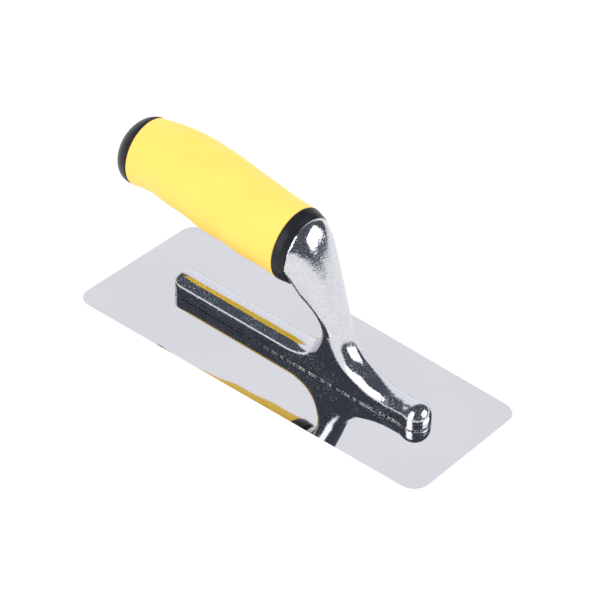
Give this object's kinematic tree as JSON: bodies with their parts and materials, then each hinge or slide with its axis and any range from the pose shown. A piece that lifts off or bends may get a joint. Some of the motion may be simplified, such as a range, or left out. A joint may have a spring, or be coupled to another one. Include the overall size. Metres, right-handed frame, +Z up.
{
  "type": "finishing trowel",
  "caption": "Flat steel finishing trowel with a cast swan-neck handle mount and a soft two-part grip, for smoothing plaster and concrete.",
  "frame": {"origin": "centre of the blade's working face, halfway along the blade and on its centreline", "axes": "+X along the blade towards the toe, the narrower end that the neck leans towards; +Z up from the working face to the grip; +Y to the left when looking towards the toe"},
  "size_m": [0.2026, 0.0796, 0.0878],
  "materials": {
    "blade_steel": "mirror-polished stainless steel sheet with faint rolling lines",
    "polished_casting": "polished die-cast aluminium with fine pits and a slight orange peel",
    "rivet_steel": "ground flush with the working face",
    "black_plastic": "satin black moulded plastic",
    "yellow_grip": "satin lemon-yellow soft moulding",
    "core_plastic": "plain black moulded core",
    "bolt_steel": "zinc-plated steel"
  },
  "bodies": {
    "root": {"blade": "blade_steel", "handle_mount": "polished_casting", "blade_rivets": "rivet_steel", "front_collar": "black_plastic", "grip_sleeve": "yellow_grip", "handle_core": "core_plastic", "tang_bolt": "bolt_steel", "bolt_washer": "bolt_steel", "rear_cap": "black_plastic"}
  },
  "joints": []
}
